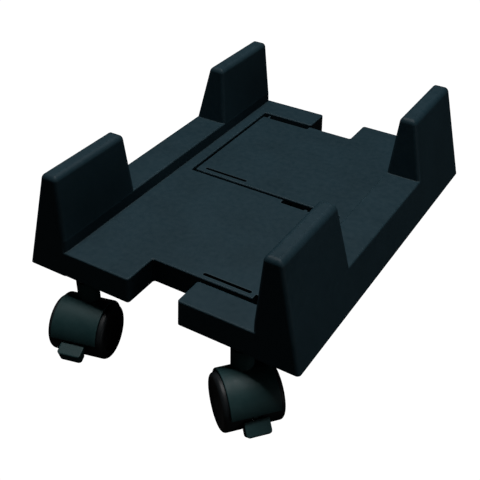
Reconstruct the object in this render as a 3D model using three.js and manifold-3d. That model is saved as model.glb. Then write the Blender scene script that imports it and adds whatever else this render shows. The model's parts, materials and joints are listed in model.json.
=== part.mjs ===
// A mobile holder for a desktop computer tower: two matching plastic mouldings that slide apart,
// on four small twin-wheel casters. Millimetres, +Z up, the floor at z = 0, the front towards -Y.

import * as THREE from 'three';
import { ConvexGeometry } from 'three/addons/geometries/ConvexGeometry.js';
import { mergeVertices } from 'three/addons/utils/BufferGeometryUtils.js';
import Module from 'manifold-3d';

const wasm = await Module();
wasm.setup();

// ---------------------------------------------------------------- driving dimensions

const standLength = 250;
const standWidth = 191;
const frameBottom = 52;
const wall = 2.6;
const gap = 0.3;
// Where two blocks of one moulding meet flush, the second stands this much inside the first.
const seam = 0.04;

// One moulding, seen as the left half. Heights are above the underside of the frame.
const rail = {
    outer: -standWidth / 2,
    inner: -65.4,
    height: 26,
    sideLean: 0.239,
    endLean: 0.067,
    cornerRadius: 2.5,
    edgeRadius: 1,
};
const fin = {
    root: 24,
    height: 67,
    innerTop: -68.4,
    footLength: 70.9,
    topLength: 67.6,
    cornerRadius: 2.5,
    edgeRadius: 3.2,
};
const deck = {
    height: 17.3,
    plate: 2.8,
    frontEdge: -99.7,
    freeEdge: 55.2,
    centreEdge: -1.1,
    blockEdge: -18,
    barEdge: -16.6,
    barInner: 102.9,
    stripEdge: -57.3,
    underRail: 8,
    edgeRadius: 0.8,
};
const ribs = { thickness: 1.8, pitch: 24.4, deckStart: -41.8 };
// A slot frees a springy arm along an edge of the deck. A thin arm also stands back and down from it.
const slotWidth = 2.4;
const arm = { setBack: 1, overrun: 0.4, drop: 3 };
const slots = {
    left: [
        { y: -95.7, edge: deck.frontEdge, from: 15.5, to: 48.5, thin: false },
        { y: -4.3, edge: deck.centreEdge, from: 16.5, to: 49.2, thin: true },
    ],
    right: [
        { y: -96.5, edge: deck.frontEdge, from: 16, to: 49.6, thin: true },
        { y: -5.6, edge: deck.centreEdge, from: 16, to: 49.5, thin: false },
    ],
};
const cornerNotch = { from: 51.3, depth: 3.9, bottom: 10 };
const guide = { from: 50.4, to: 54.7, root: 1.5, low: 6, high: 9, reach: 1.9, play: 0.3, windowEnd: 26 };
const detent = { x: 33, step: 12.5, count: 7, tip: 0.9, toothRadius: 1.2, notchRadius: 1.5, low: 10.2, high: 13.8 };

// Caster, about its own stem: +X points from the stem to the wheels, Y runs along the axle.
const caster = { x: 56, y: 117.5, trail: 7.8 };
const wheel = { radius: 17.5, inner: 3.3, outer: 18.3, shoulder: 2.4, rim: 2.6, disc: 2.4 };
const hood = { radius: 19.6, inner: 18.1, halfWidth: 14.9, frontRise: 3.3, webHalf: 2.9, webDrop: 6 };
const axle = { radius: 2.5, halfLength: 13.2, play: 0.1 };
const neck = { radius: 6.9, top: 50.4 };
const stem = { radius: 3.9, bottom: 36.4, top: 65.7, collarRadius: 6.1, collarBottom: 50.7, collarTop: 51.7 };
const grip = { waist: 3.3, inner: 3.5, outer: 4.35, bottom: 55.5, top: 62.5, split: 1.2 };
const boss = { radius: 6.4, bore: 4.5, top: 66.5 };
const lever = {
    pivotX: 14.5,
    pivotZ: -0.5,
    halfWidth: 7.6,
    cornerRadius: 2.4,
    armHalf: 1.2,
    eyeRadius: 2.7,
    length: 9,
    lip: 7,
    lockedSlope: 47,
    liftedTurn: 28,
};
const pin = { radius: 1.25, halfLength: 2.7, play: 0.1 };

// Which way each caster's wheels trail, in degrees from +X, and whether it has a brake.
const casters = [
    { name: 'front_left', side: -1, end: -1, heading: -76, brake: 'lifted' },
    { name: 'front_right', side: 1, end: -1, heading: -40.4, brake: 'pressed' },
    { name: 'rear_left', side: -1, end: 1, heading: -104, brake: 'none' },
    { name: 'rear_right', side: 1, end: 1, heading: -140, brake: 'none' },
];

// ---------------------------------------------------------------- materials

const charcoalPlastic = new THREE.MeshStandardMaterial({ color: 0x23272a, roughness: 0.55, metalness: 0 });
const casterPlastic = new THREE.MeshStandardMaterial({ color: 0x1f2326, roughness: 0.45, metalness: 0 });
const wheelPlastic = new THREE.MeshStandardMaterial({ color: 0x17191b, roughness: 0.5, metalness: 0 });
const zincSteel = new THREE.MeshStandardMaterial({ color: 0xb9bcc0, roughness: 0.3, metalness: 1 });
const springSteel = new THREE.MeshStandardMaterial({ color: 0x8d9196, roughness: 0.35, metalness: 1 });

// ---------------------------------------------------------------- shared shapes

function solid(geometry) {
    const bare = geometry.clone();
    bare.deleteAttribute('normal');
    bare.deleteAttribute('uv');
    const merged = mergeVertices(bare, 1e-4);
    const mesh = new wasm.Mesh({
        numProp: 3,
        vertProperties: Float32Array.from(merged.attributes.position.array),
        triVerts: Uint32Array.from(merged.index.array),
    });
    return new wasm.Manifold(mesh);
}

function meshOf(name, body, material) {
    const { vertProperties, triVerts } = body.getMesh();
    const geometry = new THREE.BufferGeometry();
    geometry.setAttribute('position', new THREE.BufferAttribute(vertProperties, 3));
    geometry.setIndex(new THREE.BufferAttribute(triVerts, 1));
    const flat = geometry.toNonIndexed();
    flat.computeVertexNormals();
    const mesh = new THREE.Mesh(flat, material);
    mesh.name = name;
    return mesh;
}

function joined(bodies) {
    return bodies.reduce((sum, body) => sum.add(body));
}

function box(xFrom, xTo, yFrom, yTo, zFrom, zTo) {
    const geometry = new THREE.BoxGeometry(xTo - xFrom, yTo - yFrom, zTo - zFrom);
    geometry.translate((xFrom + xTo) / 2, (yFrom + yTo) / 2, (zFrom + zTo) / 2);
    return solid(geometry);
}

function post(x, y, radius, zFrom, zTo, sides = 32) {
    const geometry = new THREE.CylinderGeometry(radius, radius, zTo - zFrom, sides);
    geometry.rotateX(Math.PI / 2);
    geometry.translate(x, y, (zFrom + zTo) / 2);
    return solid(geometry);
}

// A round bar along Y, centred on the axle line of a caster.
function crossBar(x, z, radius, yFrom, yTo, sides = 32) {
    const geometry = new THREE.CylinderGeometry(radius, radius, yTo - yFrom, sides);
    geometry.translate(x, (yFrom + yTo) / 2, z);
    return solid(geometry);
}

// A body turned about the vertical Z axis from [radius, z] points.
function turned(profile, sides) {
    const geometry = new THREE.LatheGeometry(profile.map(([r, z]) => new THREE.Vector2(r, z)), sides);
    geometry.rotateX(Math.PI / 2);
    return geometry;
}

function extruded(shape, zFrom, zTo, options = {}) {
    const geometry = new THREE.ExtrudeGeometry(shape, { depth: zTo - zFrom, bevelEnabled: false, ...options });
    geometry.translate(0, 0, zFrom);
    return geometry;
}

// The outline of a rectangle with round corners, as points at one height.
function roundedRing({ x0, x1, y0, y1 }, radius, z, fineness = 3) {
    const shape = new THREE.Shape();
    shape.absarc(x1 - radius, y1 - radius, radius, 0, Math.PI / 2);
    shape.absarc(x0 + radius, y1 - radius, radius, Math.PI / 2, Math.PI);
    shape.absarc(x0 + radius, y0 + radius, radius, Math.PI, 1.5 * Math.PI);
    shape.absarc(x1 - radius, y0 + radius, radius, 1.5 * Math.PI, 2 * Math.PI);
    return shape.getPoints(fineness).map((p) => new THREE.Vector3(p.x, p.y, z));
}

function between(low, high, t) {
    return Object.fromEntries(Object.keys(low).map((key) => [key, low[key] + (high[key] - low[key]) * t]));
}

function inset({ x0, x1, y0, y1 }, by) {
    return { x0: x0 + by, x1: x1 - by, y0: y0 + by, y1: y1 - by };
}

// A block that tapers from one rectangle to another, with round upright corners and a rounded top edge.
function taperedBlock(foot, top, zFoot, zTop, cornerRadius, edgeRadius) {
    const fineness = edgeRadius > 0 ? 3 : 1;
    const points = roundedRing(foot, cornerRadius, zFoot, fineness);
    const roundSteps = edgeRadius > 0 ? 4 : 0;
    for (let step = 0; step <= roundSteps; step++) {
        const angle = roundSteps ? (step / roundSteps) * (Math.PI / 2) : 0;
        const z = zTop - edgeRadius * (1 - Math.sin(angle));
        const shrink = edgeRadius * (1 - Math.cos(angle));
        const level = between(foot, top, (z - zFoot) / (zTop - zFoot));
        points.push(...roundedRing(inset(level, shrink), Math.max(cornerRadius - shrink, 0.6), z, fineness));
    }
    return solid(new ConvexGeometry(points));
}

// ---------------------------------------------------------------- the frame moulding (left half)

// The sloping side and end faces: how far a face has moved inwards at a height above the underside.
const outerFaceAt = (z) => rail.outer + rail.sideLean * z;
const endFaceAt = (z) => standLength / 2 - rail.endLean * z;

function railBlock() {
    const level = (z) => ({ x0: outerFaceAt(z), x1: rail.inner, y0: -endFaceAt(z), y1: endFaceAt(z) });
    const { height, cornerRadius, edgeRadius } = rail;
    return taperedBlock(level(0), level(height), 0, height, cornerRadius, edgeRadius);
}

// The inner slanted edge of a fin, measured from the middle of the stand, at a height.
function finInnerEdgeAt(z) {
    const footEdge = standLength / 2 - fin.footLength;
    const topEdge = standLength / 2 - fin.topLength;
    return footEdge + ((topEdge - footEdge) * (z - rail.height)) / (fin.height - rail.height);
}

function finLevel(z, thinner = 0) {
    const climb = Math.max(z - rail.height, 0) / (fin.height - rail.height);
    const inner = rail.inner + (fin.innerTop - rail.inner) * climb;
    return {
        x0: outerFaceAt(z) + thinner + seam,
        x1: inner - thinner - seam,
        y0: finInnerEdgeAt(z) + thinner,
        y1: endFaceAt(z) - thinner - seam,
    };
}

function finBlock() {
    const { root, height, cornerRadius, edgeRadius } = fin;
    return taperedBlock(finLevel(root), finLevel(height), root, height, cornerRadius, edgeRadius);
}

function finHollow() {
    const finWall = wall + 0.4;
    const ceiling = fin.height - finWall;
    return taperedBlock(finLevel(-1, finWall), finLevel(ceiling, finWall), -1, ceiling, 2, 0);
}

function railHollow() {
    const level = (z) => ({
        x0: outerFaceAt(z) + wall,
        x1: rail.inner - wall,
        y0: -endFaceAt(z) + wall,
        y1: endFaceAt(z) - wall,
    });
    const ceiling = rail.height - wall;
    return taperedBlock(level(-1), level(ceiling), -1, ceiling, 2, 0);
}

// A closed outline through corner points, each [x, y, corner radius].
function softOutline(corners) {
    const shape = new THREE.Shape();
    corners.forEach(([x, y, radius], i) => {
        const here = new THREE.Vector2(x, y);
        const [beforeX, beforeY] = corners[(i + corners.length - 1) % corners.length];
        const [afterX, afterY] = corners[(i + 1) % corners.length];
        const towardsBefore = new THREE.Vector2(beforeX - x, beforeY - y).setLength(radius);
        const towardsAfter = new THREE.Vector2(afterX - x, afterY - y).setLength(radius);
        const start = here.clone().add(towardsBefore);
        const end = here.clone().add(towardsAfter);
        if (i === 0) {
            shape.moveTo(start.x, start.y);
        } else {
            shape.lineTo(start.x, start.y);
        }
        shape.quadraticCurveTo(x, y, end.x, end.y);
    });
    shape.closePath();
    return shape;
}

// Deck, front block, back bar and the strip along the rail, as one plate seen from above.
function deckPlate() {
    const insideRail = rail.inner - deck.underRail;
    const end = standLength / 2 - seam;
    const { frontEdge, freeEdge, centreEdge, blockEdge, barEdge, barInner, stripEdge } = deck;
    const outline = softOutline([
        [insideRail, -end, 2],
        [blockEdge, -end, 2],
        [blockEdge, frontEdge, 1.5],
        [freeEdge, frontEdge, 1.5],
        [freeEdge, centreEdge, 1.5],
        [stripEdge, centreEdge, 1.5],
        [stripEdge, barInner, 1.5],
        [barEdge, barInner, 2],
        [barEdge, end, 1.5],
        [insideRail, end, 2],
    ]);
    const round = deck.edgeRadius;
    const geometry = extruded(outline, round + seam, deck.height - round, {
        bevelEnabled: true,
        bevelThickness: round,
        bevelSize: round,
        bevelOffset: -round,
        bevelSegments: 2,
        curveSegments: 4,
    });
    const places = geometry.attributes.position;
    for (let i = 0; i < places.count; i++) {
        const y = places.getY(i);
        if (Math.abs(y) > deck.barInner + 6) {
            places.setY(i, y - Math.sign(y) * rail.endLean * places.getZ(i));
        }
    }
    return solid(geometry);
}

// The open underside of the plate, before the ribs are left standing in it.
function plateHollow() {
    const end = standLength / 2 - wall - rail.endLean * deck.height;
    const ceiling = deck.height - deck.plate;
    const { frontEdge, freeEdge, centreEdge, blockEdge, barEdge, barInner, stripEdge } = deck;
    return joined([
        box(rail.inner, freeEdge - wall, frontEdge + wall, centreEdge - wall, -1, ceiling),
        box(rail.inner, blockEdge - wall, -end, frontEdge, -1, ceiling),
        box(rail.inner, barEdge - wall, barInner + wall, end, -1, ceiling),
        box(rail.inner, stripEdge - wall, centreEdge - 2 * wall, barInner, -1, ceiling),
    ]);
}

// Thin upright ribs across the whole underside, in both directions.
function ribGrid() {
    const half = ribs.thickness / 2;
    const rows = [-4, -3, -2, -1, 0, 1, 2, 3, 4].map((row) => row * ribs.pitch);
    const columns = [0, 1, 2, 3].map((column) => ribs.deckStart + column * ribs.pitch);
    const across = rows.map((y) => box(rail.outer - 5, deck.freeEdge + 5, y - half, y + half, -2, fin.height));
    const along = columns.map((x) => box(x - half, x + half, -standLength / 2, standLength / 2, -2, deck.height));
    return joined([...across, ...along]);
}

function springSlot({ y, from, to }) {
    const radius = slotWidth / 2;
    const outline = new THREE.Shape();
    outline.absarc(to - radius, y, radius, -Math.PI / 2, Math.PI / 2);
    outline.absarc(from + radius, y, radius, Math.PI / 2, 1.5 * Math.PI);
    outline.closePath();
    return solid(extruded(outline, -1, deck.height + 1, { curveSegments: 4 }));
}

// What is cut away beside and above a thin arm.
function armRelief({ y, edge, from, to }) {
    const outwards = Math.sign(edge - y);
    const face = edge - outwards * arm.setBack;
    const beyond = edge + outwards;
    const span = (yA, yB, zFrom) => {
        return box(from, to + arm.overrun, Math.min(yA, yB), Math.max(yA, yB), zFrom, deck.height + 1);
    };
    return span(face, beyond, -1).add(span(y, beyond, deck.height - arm.drop));
}

function notchAtFreeCorner() {
    const { frontEdge, freeEdge, height } = deck;
    const { from, depth, bottom } = cornerNotch;
    return box(from, freeEdge + 1, frontEdge - 1, frontEdge + depth, bottom, height + 1);
}

// The solid block that the notch at the free corner is cut from.
function freeCornerBlock() {
    const { frontEdge, freeEdge, height } = deck;
    const { from, depth } = cornerNotch;
    const inside = 1;
    const yTo = frontEdge + depth + inside;
    return box(from - inside, freeEdge - inside, frontEdge + inside, yTo, 2 * seam, height - inside);
}

// Windows in the centre wall and in the bar's inner wall, which the other half's tongues run in.
function guideWindows() {
    const low = guide.low - guide.play;
    const high = guide.high + guide.play;
    const { centreEdge, barInner, barEdge, stripEdge } = deck;
    return joined([
        box(stripEdge - wall + 1, guide.windowEnd, centreEdge - wall - 0.1, centreEdge + 0.1, low, high),
        box(stripEdge + 1, barEdge + 1, barInner - 0.1, barInner + wall + 0.1, low, high),
    ]);
}

// Two short tongues at the deck's free end hold the other half level.
function guideTongues() {
    const { frontEdge, centreEdge, barInner } = deck;
    const { from, to, root, low, high, reach } = guide;
    return joined([
        box(from, to, centreEdge - root, -centreEdge + reach, low, high),
        box(from, to, -barInner - reach, frontEdge + root, low, high),
    ]);
}

function detentNotches() {
    const notches = [];
    for (let i = 0; i < detent.count; i++) {
        const x = -detent.x + i * detent.step;
        notches.push(post(x, deck.centreEdge + 0.2, detent.notchRadius, detent.low - 0.6, detent.high + 0.6, 12));
    }
    return joined(notches);
}

function detentTooth() {
    const { x, tip, toothRadius, low, high } = detent;
    const roundAt = tip - toothRadius;
    const stalk = box(x - toothRadius, x + toothRadius, deck.centreEdge - 1.6, roundAt, low, high);
    return joined([stalk, post(x, roundAt, toothRadius, low, high, 12)]);
}

function stemPlaces() {
    return [-caster.y, caster.y].map((y) => [-caster.x, y]);
}

function frameMoulding(halfSlots) {
    const outer = joined([railBlock(), deckPlate(), finBlock(), finBlock().mirror([0, 1, 0])]);
    const finHollows = [finHollow(), finHollow().mirror([0, 1, 0])];
    const hollow = joined([railHollow(), plateHollow(), ...finHollows]).subtract(ribGrid());
    const ceiling = deck.height - 1;
    const bosses = joined(stemPlaces().map(([x, y]) => post(x, y, boss.radius, 2 * seam, ceiling)));
    const bores = joined(stemPlaces().map(([x, y]) => post(x, y, boss.bore, -1, boss.top - frameBottom)));
    const thinArms = halfSlots.filter((slot) => slot.thin);
    const cuts = joined([...halfSlots.map(springSlot), ...thinArms.map(armRelief), notchAtFreeCorner()]);
    return outer
        .subtract(hollow)
        .add(bosses)
        .add(freeCornerBlock())
        .subtract(bores)
        .subtract(cuts)
        .subtract(guideWindows())
        .subtract(detentNotches())
        .add(guideTongues())
        .add(detentTooth());
}

// ---------------------------------------------------------------- caster pieces

// A ring sector round the axle line, swept across the caster's width.
function hoodShell() {
    const frontAngle = Math.asin(hood.frontRise / hood.radius);
    const outline = new THREE.Shape();
    outline.absarc(0, 0, hood.radius, frontAngle, Math.PI, false);
    outline.absarc(0, 0, hood.inner, Math.PI, frontAngle, true);
    outline.closePath();
    const round = 0.5;
    const geometry = extruded(outline, -hood.halfWidth + round, hood.halfWidth - round, {
        curveSegments: 13,
        bevelEnabled: true,
        bevelThickness: round,
        bevelSize: round,
        bevelOffset: -round,
        bevelSegments: 1,
    });
    geometry.rotateX(Math.PI / 2);
    geometry.translate(caster.trail, 0, wheel.radius);
    return solid(geometry);
}

// The plate between the two wheels that carries the axle.
function hoodWeb() {
    const { trail } = caster;
    const disc = crossBar(trail, wheel.radius, hood.inner + 0.6, -hood.webHalf, hood.webHalf, 36);
    const below = box(-40, 60, -20, 20, -20, wheel.radius - hood.webDrop);
    const leverBay = box(
        trail + lever.pivotX - 4.5,
        trail + 30,
        -lever.armHalf - gap,
        lever.armHalf + gap,
        -20,
        wheel.radius + 5.2,
    );
    const frontLip = box(trail + 16.6, trail + 30, -20, 20, -20, wheel.radius + hood.frontRise);
    return disc.subtract(below).subtract(frontLip).subtract(leverBay);
}

function hoodBody(hasBrake) {
    const { trail } = caster;
    const axleLine = wheel.radius;
    const neckPost = post(0, 0, neck.radius, axleLine + 6, neck.top, 32);
    const wheelRoom = joined([
        crossBar(trail, axleLine, hood.inner, hood.webHalf, 30, 36),
        crossBar(trail, axleLine, hood.inner, -30, -hood.webHalf, 36),
    ]);
    const body = joined([neckPost, hoodWeb()]).subtract(wheelRoom).add(hoodShell());
    const bores = [
        post(0, 0, stem.radius + axle.play, stem.bottom - gap, neck.top + 1, 24),
        crossBar(trail, axleLine, axle.radius + axle.play, -10, 10, 24),
    ];
    if (hasBrake) {
        const pivotBore = pin.radius + pin.play;
        bores.push(crossBar(trail + lever.pivotX, axleLine + lever.pivotZ, pivotBore, -10, 10, 20));
    }
    return body.subtract(joined(bores));
}

// One wheel: a tread with a round shoulder, a closed outer face with a shallow dish, and a blind hub.
function wheelBody() {
    const { radius, inner, outer, shoulder, rim, disc } = wheel;
    const hubRadius = 5.2;
    const bore = axle.radius + axle.play;
    const dish = 0.7;
    const profile = [
        [0, outer - dish],
        [radius - 5, outer - dish],
        [radius - 4.2, outer],
    ];
    const shoulderSteps = 2;
    for (let step = 0; step <= shoulderSteps; step++) {
        const angle = (step / shoulderSteps) * (Math.PI / 2);
        profile.push([radius - shoulder * (1 - Math.sin(angle)), outer - shoulder * (1 - Math.cos(angle))]);
    }
    profile.push(
        [radius, inner],
        [radius - rim, inner],
        [radius - rim, outer - disc - dish],
        [hubRadius, outer - disc - dish],
        [hubRadius, inner],
        [bore, inner],
        [bore, axle.halfLength + gap],
        [0, axle.halfLength + gap],
    );
    return solid(turned(profile.reverse(), 32)).rotate([-90, 0, 0]);
}

function axleBody() {
    const chamfer = 0.4;
    const { radius, halfLength } = axle;
    const profile = [
        [0, -halfLength],
        [radius - chamfer, -halfLength],
        [radius, -halfLength + chamfer],
        [radius, halfLength - chamfer],
        [radius - chamfer, halfLength],
        [0, halfLength],
    ];
    return solid(turned(profile, 24)).rotate([90, 0, 0]);
}

// The steel stem turns in the neck and is held in the frame's socket by its grip ring.
function stemBody() {
    const { radius, bottom, top, collarRadius, collarBottom, collarTop } = stem;
    const profile = [
        [0, bottom],
        [radius - 0.6, bottom],
        [radius, bottom + 0.6],
        [radius, collarBottom],
        [collarRadius, collarBottom],
        [collarRadius, collarTop],
        [radius, collarTop],
        [radius, grip.bottom - gap],
        [grip.waist, grip.bottom - gap],
        [grip.waist, grip.top + gap],
        [radius, grip.top + gap],
        [radius, top - 1.4],
        [radius - 1.4, top],
        [0, top],
    ];
    return solid(turned(profile, 20));
}

function gripRingBody() {
    const halfSplit = Math.asin(grip.split / 2 / grip.outer);
    const outline = new THREE.Shape();
    outline.absarc(0, 0, grip.outer, halfSplit, 2 * Math.PI - halfSplit, false);
    outline.absarc(0, 0, grip.inner, 2 * Math.PI - halfSplit, halfSplit, true);
    outline.closePath();
    return solid(extruded(outline, grip.bottom, grip.top, { curveSegments: 9 }));
}

// A block that reaches through the pedal, square to its slope, with the pedal's rounded free corners.
function pedalPlan(root, along, inwards) {
    const reach = { x0: -12, x1: lever.length, y0: -lever.halfWidth, y1: lever.halfWidth };
    const corners = roundedRing(reach, lever.cornerRadius, 0).map((p) => new THREE.Vector2(p.x, p.y));
    const geometry = extruded(new THREE.Shape(corners), -20, 1);
    const xAxis = new THREE.Vector3(along.x, 0, along.y);
    const zAxis = new THREE.Vector3(-inwards.x, 0, -inwards.y);
    const turnedToSlope = new THREE.Matrix4().makeBasis(xAxis, new THREE.Vector3(0, 1, 0), zAxis);
    geometry.applyMatrix4(turnedToSlope);
    geometry.translate(root.x, 0, root.y);
    return solid(geometry);
}

// The brake pedal in its pressed place: a shoe that follows the tread, with a thick lip at the tip.
function leverBody() {
    const slope = THREE.MathUtils.degToRad(lever.lockedSlope);
    const along = new THREE.Vector2(Math.cos(slope), -Math.sin(slope));
    const inwards = new THREE.Vector2(-Math.sin(slope), -Math.cos(slope));
    const root = new THREE.Vector2(wheel.radius + 1.4, -0.3);
    const tip = root.clone().addScaledVector(along, lever.length);
    const lip = tip.clone().addScaledVector(inwards, lever.lip);
    const shoeRadius = wheel.radius + 0.7;
    const shoeEnd = -Math.PI / 7;
    const outline = new THREE.Shape();
    outline.moveTo(root.x, root.y);
    outline.lineTo(tip.x - along.x, tip.y - along.y);
    outline.quadraticCurveTo(tip.x, tip.y, tip.x + inwards.x, tip.y + inwards.y);
    outline.lineTo(lip.x, lip.y);
    outline.lineTo(shoeRadius * Math.cos(shoeEnd), shoeRadius * Math.sin(shoeEnd));
    outline.absarc(0, 0, shoeRadius, shoeEnd, Math.asin(root.y / shoeRadius), false);
    outline.closePath();
    const shoe = extruded(outline, -lever.halfWidth, lever.halfWidth, { curveSegments: 8 });
    shoe.rotateX(Math.PI / 2);
    const pedal = solid(shoe).intersect(pedalPlan(root, along, inwards));
    const eye = crossBar(lever.pivotX, lever.pivotZ, lever.eyeRadius, -lever.armHalf, lever.armHalf, 24);
    const arm = box(lever.pivotX, root.x + 0.8, -lever.armHalf, lever.armHalf, lever.pivotZ - 2.4, root.y - 0.2);
    const pinBore = crossBar(lever.pivotX, lever.pivotZ, pin.radius + pin.play, -5, 5, 20);
    return joined([pedal, eye, arm]).subtract(pinBore);
}

function leverMesh(name, isLifted) {
    const mesh = meshOf(name, leverBody().translate([-lever.pivotX, 0, -lever.pivotZ]), casterPlastic);
    mesh.position.set(caster.trail + lever.pivotX, 0, wheel.radius + lever.pivotZ);
    mesh.rotation.y = isLifted ? -THREE.MathUtils.degToRad(lever.liftedTurn) : 0;
    return mesh;
}

function casterGroup({ name, side, end, heading, brake }) {
    const group = new THREE.Group();
    const hasBrake = brake !== 'none';
    const stemMesh = meshOf(`${name}_stem`, stemBody(), zincSteel);
    const ringMesh = meshOf(`${name}_grip_ring`, gripRingBody(), springSteel);
    const hoodMesh = meshOf(`${name}_hood`, hoodBody(hasBrake), casterPlastic);
    const axleMesh = meshOf(`${name}_axle`, axleBody(), zincSteel);
    const outerWheel = meshOf(`${name}_wheel_a`, wheelBody(), wheelPlastic);
    const otherWheel = meshOf(`${name}_wheel_b`, wheelBody(), wheelPlastic);
    otherWheel.rotation.z = Math.PI;
    for (const mesh of [axleMesh, outerWheel, otherWheel]) {
        mesh.position.set(caster.trail, 0, wheel.radius);
    }
    group.add(stemMesh, ringMesh, hoodMesh, axleMesh, outerWheel, otherWheel);
    if (hasBrake) {
        const pinBody = crossBar(0, 0, pin.radius, -pin.halfLength, pin.halfLength, 20);
        const pinMesh = meshOf(`${name}_brake_pin`, pinBody, zincSteel);
        pinMesh.position.set(caster.trail + lever.pivotX, 0, wheel.radius + lever.pivotZ);
        group.add(pinMesh, leverMesh(`${name}_brake_lever`, brake === 'lifted'));
    }
    group.position.set(side * caster.x, end * caster.y, 0);
    group.rotation.z = THREE.MathUtils.degToRad(heading);
    return group;
}

// ---------------------------------------------------------------- the whole stand

const stand = new THREE.Group();
const leftFrame = meshOf('left_frame', frameMoulding(slots.left), charcoalPlastic);
const rightFrame = meshOf('right_frame', frameMoulding(slots.right), charcoalPlastic);
rightFrame.rotation.z = Math.PI;
for (const frame of [leftFrame, rightFrame]) {
    frame.position.z = frameBottom;
}
stand.add(leftFrame, rightFrame, ...casters.map(casterGroup));

// The origin lies on the floor, under the middle of the stand's whole box.
const extent = new THREE.Box3().setFromObject(stand, true);
const middle = extent.getCenter(new THREE.Vector3());
stand.position.set(-middle.x, -middle.y, -extent.min.z);

const model = new THREE.Group();
model.add(stand);

export default model;
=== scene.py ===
"""The looks of a mobile computer tower stand: two sliding plastic mouldings on four twin-wheel casters.

Lengths in this file are millimetres, turned into metres where a mesh or a place is made.
"""

import json
import math

import bpy
import bmesh
from mathutils import Matrix, Vector


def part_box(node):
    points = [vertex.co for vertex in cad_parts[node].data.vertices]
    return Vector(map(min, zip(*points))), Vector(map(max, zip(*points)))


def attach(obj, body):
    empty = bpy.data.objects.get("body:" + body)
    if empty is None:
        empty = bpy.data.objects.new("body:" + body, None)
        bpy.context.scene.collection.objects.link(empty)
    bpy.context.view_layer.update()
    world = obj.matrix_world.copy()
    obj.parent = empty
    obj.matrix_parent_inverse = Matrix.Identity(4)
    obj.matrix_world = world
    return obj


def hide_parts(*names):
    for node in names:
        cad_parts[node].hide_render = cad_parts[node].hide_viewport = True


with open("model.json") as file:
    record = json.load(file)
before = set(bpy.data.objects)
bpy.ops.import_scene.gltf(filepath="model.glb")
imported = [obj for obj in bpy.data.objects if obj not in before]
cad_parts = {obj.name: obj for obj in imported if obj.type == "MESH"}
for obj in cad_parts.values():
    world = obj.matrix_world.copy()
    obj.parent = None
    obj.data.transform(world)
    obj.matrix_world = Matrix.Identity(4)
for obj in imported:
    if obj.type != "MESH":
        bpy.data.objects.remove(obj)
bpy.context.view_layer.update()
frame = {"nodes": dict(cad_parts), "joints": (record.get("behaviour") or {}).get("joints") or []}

MM = 0.001

# ---------------------------------------------------------------- places, read from the frame

FRAME_LOW, FRAME_HIGH = (Vector(corner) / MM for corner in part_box("left_frame"))
FRAME_BOTTOM = FRAME_LOW.z
FRAME_MIDDLE_Y = (FRAME_LOW.y + FRAME_HIGH.y) / 2
HALF_LENGTH = (FRAME_HIGH.y - FRAME_LOW.y) / 2
JOINTS = {joint["name"]: joint for joint in frame["joints"]}
CASTERS = ("front_left", "front_right", "rear_left", "rear_right")
# How far each brake lever is lifted, in degrees. The rear casters have none.
LEVER_LIFT = {"front_left": 28.0, "front_right": 0.0}

# ---------------------------------------------------------------- the moulding's dimensions
# Seen as the left half, about the frame's middle. Heights are above its underside.

OUTER, INNER = FRAME_LOW.x, -65.4
RAIL_HEIGHT, FIN_HEIGHT, DECK_HEIGHT = 26.0, 67.0, 17.3
SIDE_LEAN, END_LEAN = 0.239, 0.067
FIN_ROOT, FIN_FOOT, FIN_TOP, FIN_INNER_TOP = 24.0, 70.9, 67.6, -68.4
CORNER, RAIL_ROUND, FIN_ROUND = 2.5, 1.0, 3.2
WALL, FIN_WALL, PLATE, SEAM = 2.6, 3.0, 2.8, 0.02
FRONT_EDGE, FREE_EDGE, CENTRE_EDGE = -99.7, 55.2, -1.1
BLOCK_EDGE, BAR_EDGE, BAR_INNER, STRIP_EDGE = -18.0, -16.6, 102.9, -57.3
UNDER_RAIL, PLATE_EDGE = 8.0, 0.8
# Each slot frees a springy arm along an edge of the deck: (y, edge, from x, to x, whether the arm is thin)
LEFT_SLOTS = ((-95.7, FRONT_EDGE, 15.5, 48.5, False), (-4.3, CENTRE_EDGE, 16.5, 49.2, True))
RIGHT_SLOTS = ((-96.5, FRONT_EDGE, 16.0, 49.6, True), (-5.6, CENTRE_EDGE, 16.0, 49.5, False))
SLOT_WIDTH, ARM_SET_BACK, ARM_DROP, ARM_OVERRUN = 2.4, 1.0, 3.0, 0.4
NOTCH_FROM, NOTCH_DEPTH, NOTCH_BOTTOM = 51.3, 3.9, 10.0
TONGUE_FROM, TONGUE_TO, TONGUE_LOW, TONGUE_HIGH = 50.4, 54.7, 6.0, 9.0
TONGUE_ROOT, TONGUE_REACH, WINDOW_PLAY, WINDOW_END = 1.5, 1.9, 0.3, 26.0
DETENT_X, DETENT_STEP, DETENT_COUNT, DETENT_LOW, DETENT_HIGH = 33.0, 12.5, 7, 10.2, 13.8
TOOTH_TIP, TOOTH_RADIUS, NOTCH_RADIUS, NOTCH_PLAY, STALK_ROOT = 0.9, 1.2, 1.5, 0.6, 1.6
RIB, RIB_PITCH, RIB_START = 1.8, 24.4, -41.8
STEM_X, STEM_Y = 56.0, 117.5
BOSS_RADIUS, BOSS_BORE, BOSS_BORE_TOP = 6.4, 4.5, 14.5

# ---------------------------------------------------------------- the caster's dimensions
# About its own stem: +X points from the stem to the wheels, Y runs along the axle.

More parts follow.
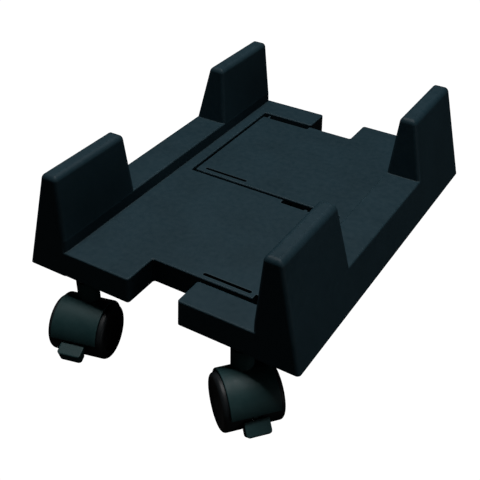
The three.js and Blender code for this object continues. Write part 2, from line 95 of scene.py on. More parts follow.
WHEEL_RADIUS, WHEEL_INNER, WHEEL_OUTER = 17.5, 3.3, 18.3
HOOD_RADIUS, HOOD_INNER, HOOD_HALF, WEB_HALF = 19.6, 18.1, 14.9, 2.9
HOOD_FRONT_RISE, WEB_DROP = 3.3, 6.0
TRAIL, NECK_RADIUS, NECK_TOP = 7.8, 6.9, 50.4
STEM_BORE, STEM_BOTTOM, AXLE_BORE, PIN_BORE = 4.0, 36.1, 2.6, 1.35
LEVER_BAY_HALF, LEVER_BAY_BACK, LEVER_BAY_RISE, FRONT_LIP = 1.5, 4.5, 5.2, 16.6
SHOULDER, DISH, RIM, DISC, HUB_RADIUS, HUB_DEPTH = 2.4, 0.7, 2.6, 2.4, 5.2, 13.5
PIVOT_X, PIVOT_Z = 14.5, -0.5
LEVER_SLOPE, LEVER_LENGTH, LEVER_LIP, LEVER_HALF, LEVER_CORNER = 47, 9.0, 7.0, 7.6, 2.4


# ---------------------------------------------------------------- mesh helpers

def new_object(name, bm):
    bmesh.ops.recalc_face_normals(bm, faces=bm.faces)
    mesh = bpy.data.meshes.new(name)
    bm.to_mesh(mesh)
    bm.free()
    obj = bpy.data.objects.new(name, mesh)
    bpy.context.collection.objects.link(obj)
    return obj


def skin(rings, name="part", closed_ring=False):
    """A closed body through rings of points: capped at both ends, or joined end to end."""
    bm = bmesh.new()
    loops = [[bm.verts.new(Vector(point) * MM) for point in ring] for ring in rings]
    count = len(rings[0])
    pairs = list(zip(loops, loops[1:]))
    if closed_ring:
        pairs.append((loops[-1], loops[0]))
    for low, high in pairs:
        for i in range(count):
            j = (i + 1) % count
            bm.faces.new((low[i], low[j], high[j], high[i]))
    if not closed_ring:
        bm.faces.new(list(reversed(loops[0])))
        bm.faces.new(loops[-1])
    return new_object(name, bm)


def box(x0, x1, y0, y1, z0, z1):
    corners = ((x0, y0), (x1, y0), (x1, y1), (x0, y1))
    return skin([[(x, y, z) for x, y in corners] for z in (z0, z1)])


def circle(radius, sides):
    angles = (2 * math.pi * i / sides for i in range(sides))
    return [(radius * math.cos(a), radius * math.sin(a)) for a in angles]


def post(x, y, radius, z0, z1, sides=48):
    return skin([[(x + u, y + v, z) for u, v in circle(radius, sides)] for z in (z0, z1)])


def cross_bar(x, z, radius, y0, y1, sides=48):
    return skin([[(x + u, y, z + v) for u, v in circle(radius, sides)] for y in (y0, y1)])


def turned(profile, sides, name="part"):
    """A body turned about Z from [radius, z] points that start and end on the axis."""
    bm = bmesh.new()
    rows = []
    for radius, z in profile:
        if radius < 1e-6:
            rows.append([bm.verts.new(Vector((0, 0, z)) * MM)])
        else:
            rows.append([bm.verts.new(Vector((u, v, z)) * MM) for u, v in circle(radius, sides)])
    for low, high in zip(rows, rows[1:]):
        for i in range(sides):
            j = (i + 1) % sides
            face = [low[i % len(low)], low[j % len(low)], high[j % len(high)], high[i % len(high)]]
            unique = list(dict.fromkeys(face))
            if len(unique) > 2:
                bm.faces.new(unique)
    return new_object(name, bm)


def drop(obj):
    mesh = obj.data
    bpy.data.objects.remove(obj)
    if mesh.users == 0:
        bpy.data.meshes.remove(mesh)


def combine(target, other, operation):
    """Joins or cuts with another body, which is used up."""
    modifier = target.modifiers.new("combine", "BOOLEAN")
    modifier.operation = operation
    modifier.object = other
    modifier.solver = "MANIFOLD"
    bpy.context.view_layer.update()
    result = bpy.data.meshes.new_from_object(target.evaluated_get(bpy.context.evaluated_depsgraph_get()))
    target.modifiers.clear()
    old = target.data
    target.data = result
    bpy.data.meshes.remove(old)
    drop(other)
    return target


def join(target, *others):
    for other in others:
        combine(target, other, "UNION")
    return target


def cut(target, *others):
    for other in others:
        combine(target, other, "DIFFERENCE")
    return target


def moved(obj, matrix):
    obj.data.transform(matrix)
    if matrix.determinant() < 0:
        obj.data.flip_normals()
    return obj


def turn(degrees, axis):
    return Matrix.Rotation(math.radians(degrees), 4, axis)


def shift(x, y, z):
    return Matrix.Translation(Vector((x, y, z)) * MM)


MIRROR_Y = Matrix.Diagonal((1, -1, 1, 1))


def duplicate(obj, name):
    twin = bpy.data.objects.new(name, obj.data.copy())
    bpy.context.collection.objects.link(twin)
    return twin


def smooth(obj, degrees=32):
    mesh = obj.data
    mesh.polygons.foreach_set("use_smooth", [True] * len(mesh.polygons))
    mesh.set_sharp_from_angle(angle=math.radians(degrees))
    weighted = obj.modifiers.new("weighted_normals", "WEIGHTED_NORMAL")
    weighted.keep_sharp = True
    weighted.weight = 80
    return obj


def rounded_rectangle(rect, radius, z, steps):
    x0, x1, y0, y1 = rect
    centres = ((x1 - radius, y1 - radius, 0), (x0 + radius, y1 - radius, 90),
               (x0 + radius, y0 + radius, 180), (x1 - radius, y0 + radius, 270))
    points = []
    for cx, cy, start in centres:
        for k in range(steps + 1):
            a = math.radians(start + 90 * k / steps)
            points.append((cx + radius * math.cos(a), cy + radius * math.sin(a), z))
    return points


def tapered_block(level, z0, z1, corner, edge, steps=8):
    """A block whose rectangle at each height is level(z), with round corners and a round top edge."""
    rings = [rounded_rectangle(level(z0), corner, z0, steps)]
    for k in range(steps + 1 if edge else 1):
        a = math.radians(90 * k / steps)
        z = z1 - edge * (1 - math.sin(a))
        inset = edge * (1 - math.cos(a))
        x0, x1, y0, y1 = level(z)
        rect = (x0 + inset, x1 - inset, y0 + inset, y1 - inset)
        rings.append(rounded_rectangle(rect, max(corner - inset, 0.5), z, steps))
    return skin(rings)


def plan_ring(corners, inset, z, steps=6):
    """An outline with square turns, given as (x, y, radius) anticlockwise, moved inwards by inset."""
    points = []
    count = len(corners)
    for i, (x, y, radius) in enumerate(corners):
        before, after = Vector(corners[i - 1][:2]), Vector(corners[(i + 1) % count][:2])
        here = Vector((x, y))
        arriving, leaving = (here - before).normalized(), (after - here).normalized()
        inwards = Vector((-arriving.y, arriving.x)) + Vector((-leaving.y, leaving.x))
        convex = arriving.cross(leaving) > 0
        corner = here + inwards * inset
        r = max(radius - inset, 0.15) if convex else radius + inset
        start, end = corner - arriving * r, corner + leaving * r
        centre = start + end - corner
        for k in range(steps + 1):
            a = math.radians(90 * k / steps)
            offset = (start - centre) * math.cos(a) + (end - centre) * math.sin(a)
            point = centre + offset
            points.append((point.x, point.y, z))
    return points


# ---------------------------------------------------------------- the frame moulding (left half)

def outer_face(z):
    return OUTER + SIDE_LEAN * z


def end_face(z):
    return HALF_LENGTH - END_LEAN * z


def rail_level(thinner=0.0):
    return lambda z: (outer_face(z) + thinner, INNER - thinner, -end_face(z) + thinner, end_face(z) - thinner)


def fin_level(thinner=0.0):
    foot_edge, top_edge = HALF_LENGTH - FIN_FOOT, HALF_LENGTH - FIN_TOP

    def level(z):
        climb = (z - RAIL_HEIGHT) / (FIN_HEIGHT - RAIL_HEIGHT)
        inner = INNER + (FIN_INNER_TOP - INNER) * max(climb, 0)
        slant = foot_edge + (top_edge - foot_edge) * climb
        inside = thinner + SEAM
        return (outer_face(z) + inside, inner - inside, slant + thinner, end_face(z) - inside)

    return level


def deck_plate():
    """Deck, front block, back bar and strip, with both rims rounded and the end faces leaning inwards."""
    hidden = INNER - UNDER_RAIL
    end = HALF_LENGTH - SEAM
    corners = [
        (hidden, -end, 2), (BLOCK_EDGE, -end, 2), (BLOCK_EDGE, FRONT_EDGE, 1.5), (FREE_EDGE, FRONT_EDGE, 1.5),
        (FREE_EDGE, CENTRE_EDGE, 1.5), (STRIP_EDGE, CENTRE_EDGE, 1.5), (STRIP_EDGE, BAR_INNER, 1.5),
        (BAR_EDGE, BAR_INNER, 2), (BAR_EDGE, end, 1.5), (hidden, end, 2),
    ]
    edge, steps = PLATE_EDGE, 5
    rings = []
    for k in range(steps + 1):
        a = math.radians(90 * k / steps)
        rings.append(plan_ring(corners, edge * (1 - math.sin(a)), SEAM + edge * (1 - math.cos(a))))
    for k in range(steps + 1):
        a = math.radians(90 * k / steps)
        rings.append(plan_ring(corners, edge * (1 - math.cos(a)), DECK_HEIGHT - edge * (1 - math.sin(a))))
    leaning = [[(x, y - math.copysign(END_LEAN * z, y) if abs(y) > BAR_INNER + 6 else y, z)
                for x, y, z in ring] for ring in rings]
    return skin(leaning)


def rib_grid():
    """Thin upright slabs across the whole underside, in both directions."""
    half = RIB / 2
    slabs = [box(OUTER - 5, FREE_EDGE + 5, row * RIB_PITCH - half, row * RIB_PITCH + half, -2, FIN_HEIGHT)
             for row in range(-4, 5)]
    columns = [RIB_START + column * RIB_PITCH for column in range(4)]
    slabs += [box(x - half, x + half, -HALF_LENGTH, HALF_LENGTH, -2.2, DECK_HEIGHT) for x in columns]
    return slabs


def underside_hollow():
    """The open rib pockets. The cutters start at slightly different depths, so that no faces coincide."""
    end = HALF_LENGTH - WALL - END_LEAN * DECK_HEIGHT
    ceiling = DECK_HEIGHT - PLATE
    fin_hollow = tapered_block(fin_level(FIN_WALL), -1, FIN_HEIGHT - FIN_WALL, 2, 1.2, steps=4)
    other_fin = moved(duplicate(fin_hollow, "part"), MIRROR_Y)
    rail_hollow = tapered_block(rail_level(WALL), -1, RAIL_HEIGHT - WALL, 2, 0.8, steps=4)
    hollow = join(
        rail_hollow, fin_hollow, other_fin,
        box(INNER, FREE_EDGE - WALL, FRONT_EDGE + WALL, CENTRE_EDGE - WALL, -1.1, ceiling),
        box(INNER, BLOCK_EDGE - WALL, -end, FRONT_EDGE, -1.1, ceiling),
        box(INNER, BAR_EDGE - WALL, BAR_INNER + WALL, end, -1.1, ceiling),
        box(INNER, STRIP_EDGE - WALL, CENTRE_EDGE - 2 * WALL, BAR_INNER, -1.2, ceiling),
    )
    return cut(hollow, *rib_grid())


def spring_slot(y, x0, x1):
    radius, steps = SLOT_WIDTH / 2, 8
    outline = []
    for centre, start in ((x1 - radius, -90), (x0 + radius, 90)):
        for k in range(steps + 1):
            a = math.radians(start + 180 * k / steps)
            outline.append((centre + radius * math.cos(a), y + radius * math.sin(a)))
    return skin([[(x, y, z) for x, y in outline] for z in (-1, DECK_HEIGHT + 1)])


def arm_relief(y, edge, x0, x1):
    """What is cut away beside and above a thin arm."""
    outwards = math.copysign(1, edge - y)
    beyond = edge + outwards
    beside = sorted((edge - outwards * ARM_SET_BACK, beyond))
    above = sorted((y, beyond))
    x1 += ARM_OVERRUN
    return [box(x0, x1, *beside, -1, DECK_HEIGHT + 1),
            box(x0, x1, *above, DECK_HEIGHT - ARM_DROP, DECK_HEIGHT + 1.1)]


def frame_cutters(slots):
    """Spring slots, the notch at the free corner, the guide windows and the detent notches."""
    cutters = []
    for y, edge, x0, x1, thin in slots:
        cutters.append(spring_slot(y, x0, x1))
        if thin:
            cutters += arm_relief(y, edge, x0, x1)
    cutters.append(box(NOTCH_FROM, FREE_EDGE + 1, FRONT_EDGE - 1, FRONT_EDGE + NOTCH_DEPTH,
                       NOTCH_BOTTOM, DECK_HEIGHT + 1))
    low, high = TONGUE_LOW - WINDOW_PLAY, TONGUE_HIGH + WINDOW_PLAY
    centre_wall = (CENTRE_EDGE - WALL - 0.1, CENTRE_EDGE + 0.1)
    bar_wall = (BAR_INNER - 0.1, BAR_INNER + WALL + 0.1)
    cutters.append(box(STRIP_EDGE - WALL + 1, WINDOW_END, *centre_wall, low, high))
    cutters.append(box(STRIP_EDGE + 1, BAR_EDGE + 1, *bar_wall, low, high))
    for notch in range(DETENT_COUNT):
        x = -DETENT_X + notch * DETENT_STEP
        heights = (DETENT_LOW - NOTCH_PLAY, DETENT_HIGH + NOTCH_PLAY)
        cutters.append(post(x, CENTRE_EDGE + 0.2, NOTCH_RADIUS, *heights, 20))
    return cutters


def tongues_and_tooth():
    """The guides that run in the other half's windows, and the tooth on the centre arm."""
    spans = ((CENTRE_EDGE - TONGUE_ROOT, -CENTRE_EDGE + TONGUE_REACH),
             (-BAR_INNER - TONGUE_REACH, FRONT_EDGE + TONGUE_ROOT))
    tongues = [box(TONGUE_FROM, TONGUE_TO, y0, y1, TONGUE_LOW, TONGUE_HIGH) for y0, y1 in spans]
    tooth_at = TOOTH_TIP - TOOTH_RADIUS
    stalk_x = (DETENT_X - TOOTH_RADIUS, DETENT_X + TOOTH_RADIUS)
    stalk = box(*stalk_x, CENTRE_EDGE - STALK_ROOT, tooth_at, DETENT_LOW, DETENT_HIGH)
    return [*tongues, stalk, post(DETENT_X, tooth_at, TOOTH_RADIUS, DETENT_LOW, DETENT_HIGH, 20)]


def frame_moulding(name, slots):
    fin = tapered_block(fin_level(), FIN_ROOT, FIN_HEIGHT, CORNER, FIN_ROUND)
    other_fin = moved(duplicate(fin, "part"), MIRROR_Y)
    body = tapered_block(rail_level(), 0, RAIL_HEIGHT, CORNER, RAIL_ROUND)
    body.name = name
    join(body, deck_plate(), fin, other_fin)
    cut(body, underside_hollow())
    for y in (-STEM_Y, STEM_Y):
        join(body, post(-STEM_X, y, BOSS_RADIUS, 0.1, DECK_HEIGHT - 1))
        cut(body, post(-STEM_X, y, BOSS_BORE, -1, BOSS_BORE_TOP))
    corner_block = box(NOTCH_FROM - 1, FREE_EDGE - 1, FRONT_EDGE + 1, FRONT_EDGE + NOTCH_DEPTH + 1,
                       0.1, DECK_HEIGHT - 1)
    join(body, corner_block)
    cut(body, *frame_cutters(slots))
    return join(body, *tongues_and_tooth())


# ---------------------------------------------------------------- caster pieces, about the stem

def arc_points(radius, start, end, steps, cx=0.0, cz=0.0):
    angles = (math.radians(start + (end - start) * k / steps) for k in range(steps + 1))
    return [(cx + radius * math.cos(a), cz + radius * math.sin(a)) for a in angles]


def hood_shell():
    """A band round the wheels: its section is swept about the axle from the front edge to the back."""
    edge, steps, sweep_steps = 0.55, 4, 56
    section = []
    for r, y, start in ((HOOD_RADIUS, HOOD_HALF, 0), (HOOD_INNER, HOOD_HALF, 90),
                        (HOOD_INNER, -HOOD_HALF, 180), (HOOD_RADIUS, -HOOD_HALF, 270)):
        cr = r - edge if r == HOOD_RADIUS else r + edge
        cy = y - math.copysign(edge, y)
        for k in range(steps + 1):
            a = math.radians(start + 90 * k / steps)
            section.append((cr + edge * math.cos(a), cy + edge * math.sin(a)))
    front = math.degrees(math.asin(HOOD_FRONT_RISE / HOOD_RADIUS))
    rings = []
    for step in range(sweep_steps + 1):
        a = math.radians(front + (180 - front) * step / sweep_steps)
        rings.append([(TRAIL + r * math.cos(a), y, WHEEL_RADIUS + r * math.sin(a)) for r, y in section])
    return skin(rings)


def hood_body(name, has_brake):
    """The neck and the web that carries the axle, under the shell, with their bores."""
    web = cross_bar(TRAIL, WHEEL_RADIUS, HOOD_INNER + 0.6, -WEB_HALF, WEB_HALF, 72)
    cut(web, box(-40, 60, -20, 20, -20, WHEEL_RADIUS - WEB_DROP))
    cut(web, box(TRAIL + FRONT_LIP, TRAIL + 30, -20, 20, -21, WHEEL_RADIUS + HOOD_FRONT_RISE))
    cut(web, box(TRAIL + PIVOT_X - LEVER_BAY_BACK, TRAIL + 30, -LEVER_BAY_HALF, LEVER_BAY_HALF,
                 -21, WHEEL_RADIUS + LEVER_BAY_RISE))
    neck_edge = 0.7
    neck_profile = [(0, WHEEL_RADIUS + 6), (NECK_RADIUS, WHEEL_RADIUS + 6)]
    neck_profile += arc_points(neck_edge, 0, 90, 5, NECK_RADIUS - neck_edge, NECK_TOP - neck_edge)
    neck_profile.append((0, NECK_TOP))
    body = turned(neck_profile, 64, name)
    join(body, web)
    cut(body, cross_bar(TRAIL, WHEEL_RADIUS, HOOD_INNER, WEB_HALF, 30, 72))
    cut(body, cross_bar(TRAIL, WHEEL_RADIUS, HOOD_INNER, -30, -WEB_HALF, 72))
    join(body, hood_shell())
    cut(body, post(0, 0, STEM_BORE, STEM_BOTTOM, NECK_TOP + 1))
    cut(body, cross_bar(TRAIL, WHEEL_RADIUS, AXLE_BORE, -10, 10))
    if has_brake:
        cut(body, cross_bar(TRAIL + PIVOT_X, WHEEL_RADIUS + PIVOT_Z, PIN_BORE, -10, 10, 32))
    return body


def wheel_body(name):
    """A wheel along Z, its outer face upwards: round shoulder, raised rim, dished face, blind hub."""
    face = WHEEL_OUTER - DISH
    cap_radius, cap_rise = 3.2, 0.35
    profile = [(0, face + cap_rise), (cap_radius, face + cap_rise), (cap_radius + 0.5, face)]
    profile += [(WHEEL_RADIUS - 5.1, face), (WHEEL_RADIUS - 4.8, face + 0.1)]
    profile += [(WHEEL_RADIUS - 4.3, WHEEL_OUTER - 0.12), (WHEEL_RADIUS - 4.0, WHEEL_OUTER)]
    profile += reversed(arc_points(SHOULDER, 0, 90, 8, WHEEL_RADIUS - SHOULDER, WHEEL_OUTER - SHOULDER))
    profile += [(WHEEL_RADIUS, WHEEL_INNER + 0.5), (WHEEL_RADIUS - 0.5, WHEEL_INNER)]
    profile += [(WHEEL_RADIUS - RIM, WHEEL_INNER), (WHEEL_RADIUS - RIM, face - DISC)]
    profile += [(HUB_RADIUS, face - DISC), (HUB_RADIUS, WHEEL_INNER), (AXLE_BORE, WHEEL_INNER)]
    profile += [(AXLE_BORE, HUB_DEPTH), (0, HUB_DEPTH)]
    return turned(profile, 96, name)


def lever_body(name):
    """The brake pedal, pressed: a shoe that follows the tread, a sloping top and a thick lip."""
    slope = math.radians(LEVER_SLOPE)
    along = Vector((math.cos(slope), -math.sin(slope)))
    inwards = Vector((-math.sin(slope), -math.cos(slope)))
    root = Vector((WHEEL_RADIUS + 1.4, -0.3))
    tip = root + along * LEVER_LENGTH
    lip = tip + inwards * LEVER_LIP
    tip_centre = tip - along + inwards
    outline = [tuple(root)]
    for k in range(7):
        a = math.radians(90 * k / 6)
        outline.append(tuple(tip_centre - inwards * math.cos(a) + along * math.sin(a)))
    outline.append(tuple(lip))
    outline += arc_points(WHEEL_RADIUS + 0.7, -180 / 7, -0.95, 8)

    # The sides are rounded: towards each side the outline shrinks about its middle.
    edge, steps, middle_reach = 0.7, 4, 5.5
    middle = sum((Vector(point) for point in outline), Vector((0, 0))) / len(outline)
    rings = []
    for side in (-1, 1):
        for k in (range(steps, -1, -1) if side < 0 else range(steps + 1)):
            a = math.radians(90 * k / steps)
            factor = 1 - edge * (1 - math.cos(a)) / middle_reach
            y = side * (LEVER_HALF - edge * (1 - math.sin(a)))
            ring = [middle + (Vector(point) - middle) * factor for point in outline]
            rings.append([(point.x, y, point.y) for point in ring])
    body = skin(rings, name)

    # The two free corners are rounded, seen square to the slope.
    plan = rounded_rectangle((-12, LEVER_LENGTH, -LEVER_HALF, LEVER_HALF), LEVER_CORNER, 0, 8)
    levels = [root + inwards * depth for depth in (-1, 20)]
    reach = skin([[(level.x + along.x * u, v, level.y + along.y * u) for u, v, _ in plan] for level in levels])
    combine(body, reach, "INTERSECT")
    eye = cross_bar(PIVOT_X, PIVOT_Z, 2.7, -1.2, 1.2, 40)
    arm = box(PIVOT_X, root.x + 0.8, -1.2, 1.2, PIVOT_Z - 2.4, root.y - 0.4)
    join(body, eye, arm)
    return cut(body, cross_bar(PIVOT_X, PIVOT_Z, PIN_BORE, -5, 5, 32))


# ---------------------------------------------------------------- materials

def nodes_of(material):
    material.use_nodes = True
    tree = material.node_tree
    tree.nodes.clear()
    return tree


def link_noise(tree, coordinates, scale, detail, roughness=0.5):
    noise = tree.nodes.new("ShaderNodeTexNoise")
    noise.inputs["Scale"].default_value = scale
    noise.inputs["Detail"].default_value = detail
    noise.inputs["Roughness"].default_value = roughness
    tree.links.new(coordinates, noise.inputs["Vector"])
    return noise.outputs["Fac"]


def mapped(tree, value, low, high, out_low, out_high):
    node = tree.nodes.new("ShaderNodeMapRange")
    for key, number in (("From Min", low), ("From Max", high), ("To Min", out_low), ("To Max", out_high)):
        node.inputs[key].default_value = number
    tree.links.new(value, node.inputs["Value"])
    return node.outputs["Result"]


def mixed(tree, factor, a, b):
    """Mixes two colours; each is a socket or a plain colour."""
    node = tree.nodes.new("ShaderNodeMix")
    node.data_type = "RGBA"
    colour_inputs = [socket for socket in node.inputs if socket.type == "RGBA"]
    for socket, colour in zip(colour_inputs, (a, b)):
        if isinstance(colour, tuple):
            socket.default_value = (*colour, 1)
        else:
            tree.links.new(colour, socket)
    tree.links.new(factor, node.inputs[0])
    return next(socket for socket in node.outputs if socket.type == "RGBA")


def edge_mask(tree, radius, low, high):
    """Near 1 along outside edges: where a rounded normal turns away from the true one."""
    bevel = tree.nodes.new("ShaderNodeBevel")
    bevel.samples = 6
    bevel.inputs["Radius"].default_value = radius
    geometry = tree.nodes.new("ShaderNodeNewGeometry")
    dot = tree.nodes.new("ShaderNodeVectorMath")
    dot.operation = "DOT_PRODUCT"
    tree.links.new(bevel.outputs["Normal"], dot.inputs[0])
    tree.links.new(geometry.outputs["Normal"], dot.inputs[1])
    return mapped(tree, dot.outputs["Value"], high, low, 0, 1), bevel.outputs["Normal"]


def moulded_plastic(name, dark, light, speckle_wear_and_highlight, roughness, gloss, grain, grain_depth, wear_and_highlight_reach):
    """Grained black plastic: mottled colour, a fine pebbled grain, edges painted lighter as rubbed wear and as
    a painted highlight, and uneven gloss.
    """
    material = bpy.data.materials.new(name)
    tree = nodes_of(material)
    coordinates = tree.nodes.new("ShaderNodeTexCoord").outputs["Object"]
    broad = link_noise(tree, coordinates, 28, 4)
    mottle = mapped(tree, link_noise(tree, coordinates, 260, 5, 0.6), 0.3, 0.7, 0, 1)
    pebbles = link_noise(tree, coordinates, grain, 3, 0.55)
    base = mixed(tree, mapped(tree, broad, 0.35, 0.65, 0, 1), dark, light)
    speckled = mixed(tree, mapped(tree, mottle, 0, 1, 0, 0.10), base, speckle_wear_and_highlight)
    # Along the edges the colour is painted lighter: partly rubbed wear, partly a painted highlight where light
    # catches the edge.
    edge_nearness, round_normal = edge_mask(tree, wear_and_highlight_reach, 0.93, 0.995)
    patchy = tree.nodes.new("ShaderNodeMath")
    patchy.operation = "MULTIPLY"
    tree.links.new(edge_nearness, patchy.inputs[0])
    tree.links.new(mapped(tree, broad, 0.3, 0.7, 0.4, 0.95), patchy.inputs[1])
    colour = mixed(tree, patchy.outputs[0], speckled, speckle_wear_and_highlight)
    bump = tree.nodes.new("ShaderNodeBump")
    bump.inputs["Strength"].default_value = 0.55
    bump.inputs["Distance"].default_value = grain_depth
    tree.links.new(pebbles, bump.inputs["Height"])
    tree.links.new(round_normal, bump.inputs["Normal"])
    shader = tree.nodes.new("ShaderNodeBsdfPrincipled")
    shader.inputs["Specular IOR Level"].default_value = gloss
    tree.links.new(colour, shader.inputs["Base Color"])
    tree.links.new(mapped(tree, mottle, 0, 1, roughness - 0.05, roughness + 0.08), shader.inputs["Roughness"])
    tree.links.new(bump.outputs["Normal"], shader.inputs["Normal"])
    output = tree.nodes.new("ShaderNodeOutputMaterial")
    tree.links.new(shader.outputs[0], output.inputs["Surface"])
    return material


def plated_steel(name, clean, tarnished, roughness):
    """Bright plated wire and pins: fine lengthways scratches and cloudy patches."""
    material = bpy.data.materials.new(name)
    tree = nodes_of(material)
    coordinates = tree.nodes.new("ShaderNodeTexCoord").outputs["Object"]
    clouds = mapped(tree, link_noise(tree, coordinates, 320, 5, 0.6), 0.35, 0.7, 0, 1)
    scratches = link_noise(tree, coordinates, 5200, 2)
    edge_nearness, round_normal = edge_mask(tree, 0.0002, 0.8, 0.98)
    cloudy = mixed(tree, clouds, clean, tarnished)
    colour = mixed(tree, mapped(tree, edge_nearness, 0, 1, 0, 0.5), cloudy, clean)
    bump = tree.nodes.new("ShaderNodeBump")
    bump.inputs["Strength"].default_value = 0.2
    bump.inputs["Distance"].default_value = 0.00003
    tree.links.new(scratches, bump.inputs["Height"])
    tree.links.new(round_normal, bump.inputs["Normal"])
    shader = tree.nodes.new("ShaderNodeBsdfPrincipled")
    shader.inputs["Metallic"].default_value = 1.0
    tree.links.new(colour, shader.inputs["Base Color"])
    tree.links.new(mapped(tree, clouds, 0, 1, roughness - 0.06, roughness + 0.12), shader.inputs["Roughness"])
    tree.links.new(bump.outputs["Normal"], shader.inputs["Normal"])
    output = tree.nodes.new("ShaderNodeOutputMaterial")
    tree.links.new(shader.outputs[0], output.inputs["Surface"])
    return material


# The third colour of each plastic is its light speckle and also the colour painted along its edges, partly as
# wear and partly as a painted highlight.
FRAME_PLASTIC = moulded_plastic("frame_plastic", (0.0085, 0.0270, 0.0375), (0.0110, 0.0325, 0.0450),
                                (0.060, 0.100, 0.118), 0.56, 0.22, 2600, 0.00012, 0.0010)
CASTER_PLASTIC = moulded_plastic("caster_plastic", (0.0090, 0.0320, 0.0340), (0.0130, 0.0400, 0.0420),
                                 (0.045, 0.095, 0.100), 0.52, 0.24, 3200, 0.00007, 0.0006)
WHEEL_PLASTIC = moulded_plastic("wheel_plastic", (0.0060, 0.0085, 0.0100), (0.0095, 0.0125, 0.0145),
                                (0.040, 0.047, 0.050), 0.48, 0.30, 4200, 0.00004, 0.0006)
ZINC_STEEL = plated_steel("zinc_steel", (0.66, 0.67, 0.69), (0.46, 0.47, 0.49), 0.28)
SPRING_STEEL = plated_steel("spring_steel", (0.42, 0.43, 0.45), (0.24, 0.24, 0.26), 0.34)


def dressed(obj, material):
    obj.data.materials.clear()
    obj.data.materials.append(material)
    return obj


# ---------------------------------------------------------------- the two frames

def build_frames():
    left = frame_moulding("left_frame_shell", LEFT_SLOTS)
    right = moved(frame_moulding("right_frame_shell", RIGHT_SLOTS), turn(180, "Z"))
    for shell, node in ((left, "left_frame"), (right, "right_frame")):
        moved(shell, shift(0, FRAME_MIDDLE_Y, FRAME_BOTTOM))
        smooth(dressed(shell, FRAME_PLASTIC))
        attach(shell, node)
        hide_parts(node)


# ---------------------------------------------------------------- the four casters

def caster_place(name):
    """Where the caster stands and which way it trails, from its swivel and its wheels' axle."""
    stem = Vector(JOINTS[f"{name}_swivel"]["pos_m"]) / MM
    axle = Vector(JOINTS[f"{name}_roll_a"]["axis"])
    heading = math.degrees(math.atan2(-axle.x, axle.y))
    return shift(stem.x, stem.y, 0) @ turn(heading, "Z")


def build_casters():
    plain_hood = hood_body("plain_hood", False)
    braked_hood = hood_body("braked_hood", True)
    wheel = wheel_body("wheel")
    lever = lever_body("lever")
    for name in CASTERS:
        place = caster_place(name)
        source = braked_hood if name in LEVER_LIFT else plain_hood
        hood = moved(duplicate(source, f"{name}_hood_shell"), place)
        smooth(dressed(hood, CASTER_PLASTIC), 28)
        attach(hood, f"{name}_caster")
        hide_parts(f"{name}_hood")
        for letter, side in (("a", -90), ("b", 90)):
            disc = duplicate(wheel, f"{name}_wheel_{letter}_disc")
            moved(disc, place @ shift(TRAIL, 0, WHEEL_RADIUS) @ turn(side, "X"))
            smooth(dressed(disc, WHEEL_PLASTIC))
            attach(disc, f"{name}_wheel_{letter}")
            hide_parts(f"{name}_wheel_{letter}")
        if name in LEVER_LIFT:
            pedal = duplicate(lever, f"{name}_brake_pedal")
            to_pivot = shift(PIVOT_X, 0, PIVOT_Z)
            lifted = to_pivot @ turn(-LEVER_LIFT[name], "Y") @ to_pivot.inverted()
            moved(pedal, place @ shift(TRAIL, 0, WHEEL_RADIUS) @ lifted)
            smooth(dressed(pedal, CASTER_PLASTIC))
            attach(pedal, f"{name}_brake")
            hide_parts(f"{name}_brake_lever")
            dressed(frame["nodes"][f"{name}_brake_pin"], ZINC_STEEL)
        dressed(frame["nodes"][f"{name}_stem"], ZINC_STEEL)
        dressed(frame["nodes"][f"{name}_axle"], ZINC_STEEL)
        dressed(frame["nodes"][f"{name}_grip_ring"], SPRING_STEEL)
    for source in (plain_hood, braked_hood, wheel, lever):
        drop(source)


# ---------------------------------------------------------------- floor, light and camera

def camera_rays(tree):
    return tree.nodes.new("ShaderNodeLightPath").outputs["Is Camera Ray"]


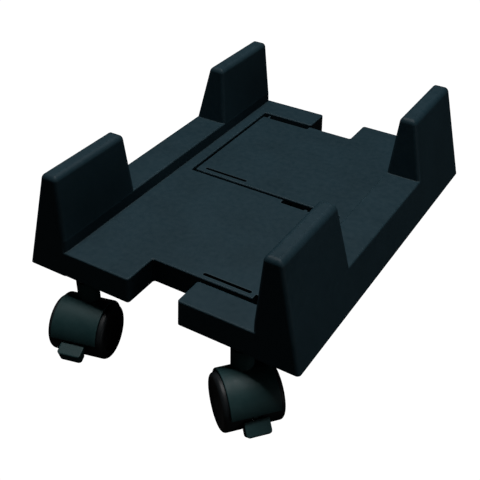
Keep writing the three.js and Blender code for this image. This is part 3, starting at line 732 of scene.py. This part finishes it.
def build_floor():
    """A pale floor that looks evenly lit and throws little light back up at the object."""
    half = 2500
    floor = box(-half, half, -half, half, -12, 0)
    floor.name = "floor"
    material = bpy.data.materials.new("pale_floor")
    tree = nodes_of(material)
    dull = tree.nodes.new("ShaderNodeBsdfDiffuse")
    dull.inputs["Color"].default_value = (0.03, 0.03, 0.03, 1)
    pale = tree.nodes.new("ShaderNodeEmission")
    pale.inputs["Strength"].default_value = 1.05
    mix = tree.nodes.new("ShaderNodeMixShader")
    tree.links.new(camera_rays(tree), mix.inputs["Fac"])
    tree.links.new(dull.outputs[0], mix.inputs[1])
    tree.links.new(pale.outputs[0], mix.inputs[2])
    output = tree.nodes.new("ShaderNodeOutputMaterial")
    tree.links.new(mix.outputs[0], output.inputs["Surface"])
    floor.data.materials.append(material)


def area_light(name, place, aim, size, power):
    data = bpy.data.lights.new(name, "AREA")
    data.shape = "DISK"
    data.size = size
    data.energy = power
    light = bpy.data.objects.new(name, data)
    light.location = place
    light.rotation_euler = (Vector(aim) - Vector(place)).to_track_quat("-Z", "Y").to_euler()
    bpy.context.collection.objects.link(light)


def build_lights():
    target = (0, 0, 0.06)
    area_light("top", (-0.05, 0.05, 1.6), target, 0.45, 17.5)
    area_light("right", (1.6, -0.15, 0.28), target, 0.5, 1.5)
    world = bpy.data.worlds.new("studio")
    world.use_nodes = True
    tree = world.node_tree
    strength = mapped(tree, camera_rays(tree), 0, 1, 0.01, 1.05)
    tree.links.new(strength, tree.nodes["Background"].inputs["Strength"])
    tree.nodes["Background"].inputs["Color"].default_value = (1, 1, 1, 1)
    bpy.context.scene.world = world


def build_camera():
    """A camera a little over half a metre away, looking down at the stand's front right corner."""
    place = Vector((224.2, -401.4 + FRAME_MIDDLE_Y, 307.3 + FRAME_BOTTOM)) * MM
    yaw, pitch, roll = 0.5417, -0.6232, 0.0131
    forward = Vector((-math.sin(yaw) * math.cos(pitch), math.cos(yaw) * math.cos(pitch), math.sin(pitch)))
    right = Vector((math.cos(yaw), math.sin(yaw), 0))
    up = right.cross(forward)
    tilted_right = right * math.cos(roll) + up * math.sin(roll)
    tilted_up = up * math.cos(roll) - right * math.sin(roll)
    rotation = Matrix((tilted_right, tilted_up, -forward)).transposed()
    data = bpy.data.cameras.new("camera")
    data.sensor_width = 36
    data.lens = 60.37
    camera = bpy.data.objects.new("camera", data)
    camera.matrix_world = Matrix.Translation(place) @ rotation.to_4x4()
    bpy.context.collection.objects.link(camera)
    bpy.context.scene.camera = camera


build_frames()
build_casters()
build_floor()
build_lights()
build_camera()
bpy.context.scene.view_settings.view_transform = "Standard"
